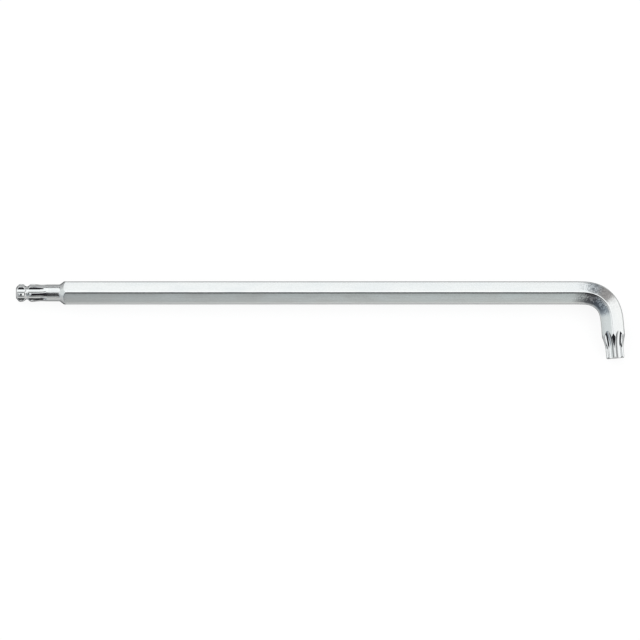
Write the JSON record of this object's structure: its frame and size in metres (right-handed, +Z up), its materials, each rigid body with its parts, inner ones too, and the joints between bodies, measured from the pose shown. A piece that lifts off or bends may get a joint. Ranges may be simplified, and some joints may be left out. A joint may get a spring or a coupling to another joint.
{
  "type": "star key",
  "caption": "L-shaped star key of hexagon bar, with a straight star tip on the short arm and a fluted ball end on the long arm, for turning star-socket screws.",
  "frame": {"origin": "middle of the key's box, on the surface that the key lies on", "axes": "+X along the long arm, from the ball end to the bend; the short arm points to -Y, 5 degrees off square; +Z up, square to the plane of the bend"},
  "size_m": [0.1329, 0.017, 0.0057],
  "materials": {
    "drawn_chrome": "satin chrome plating over drawn bar, with fine lines along the bar",
    "bent_chrome": "chrome plating over the coarse skin of the bend",
    "formed_chrome": "bright chrome plating over turned and pressed ends"
  },
  "bodies": {
    "root": {"ball_head": "formed_chrome", "ball_waist": "formed_chrome", "fluted_neck": "formed_chrome", "flute_runout": "formed_chrome", "plain_neck": "formed_chrome", "shoulder": "formed_chrome", "long_arm": "drawn_chrome", "bend": "bent_chrome", "short_arm": "drawn_chrome", "star_flare": "formed_chrome", "star_tip": "formed_chrome"}
  },
  "joints": []
}
